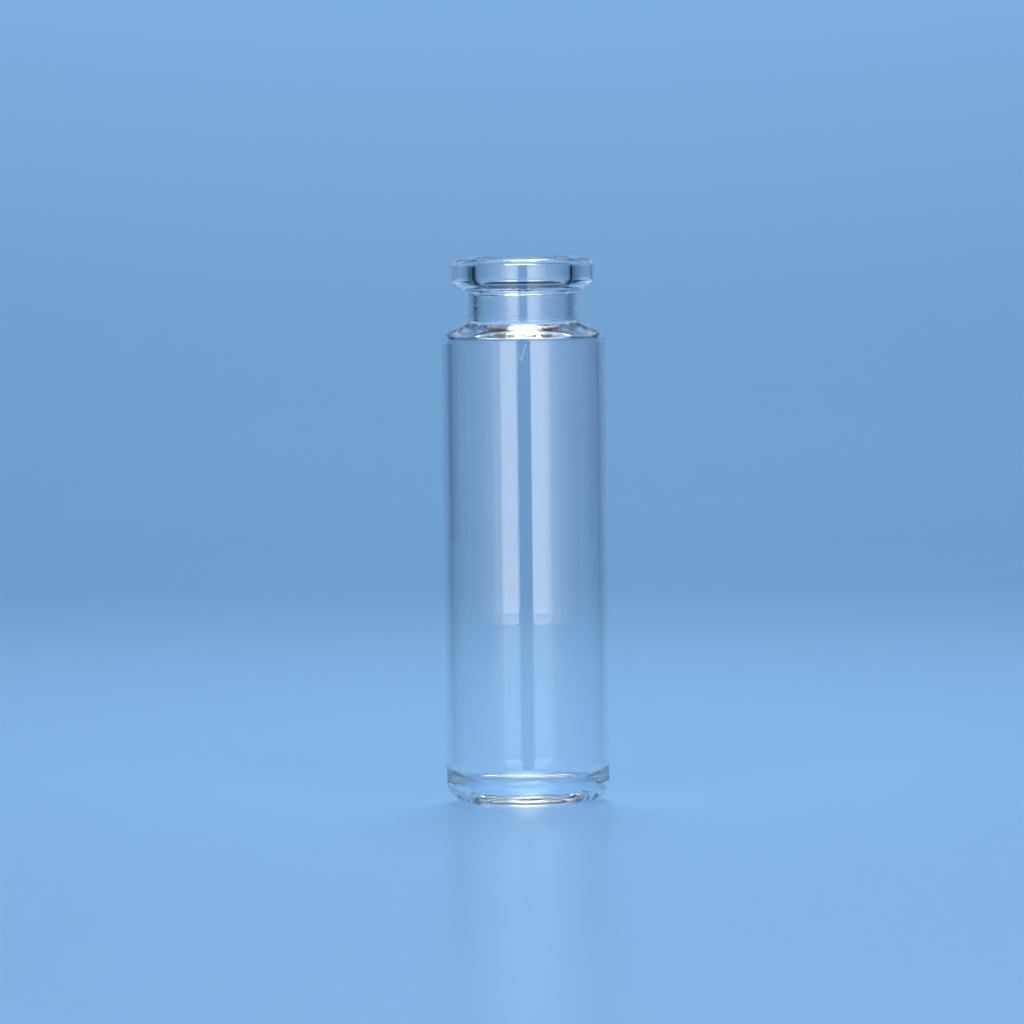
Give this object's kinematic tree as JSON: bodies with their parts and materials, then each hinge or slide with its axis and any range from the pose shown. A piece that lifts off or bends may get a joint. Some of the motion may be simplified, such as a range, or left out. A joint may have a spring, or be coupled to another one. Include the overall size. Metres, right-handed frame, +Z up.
{
  "type": "glass sample vial",
  "caption": "Clear glass headspace sample vial with a bevelled crimp flange, short neck, sloping shoulder and pushed-up base, open at the mouth.",
  "frame": {"origin": "on the vial's axis, at the level of the ring that it stands on", "axes": "+Z up along the vial's axis, out of the mouth; the vial is round, so X and Y are free"},
  "size_m": [0.0225, 0.0224, 0.0755],
  "materials": {
    "clear_glass": "clear fire-polished tube glass, faint draw lines and tool ripples"
  },
  "bodies": {
    "root": {"vial": "clear_glass"}
  },
  "joints": []
}
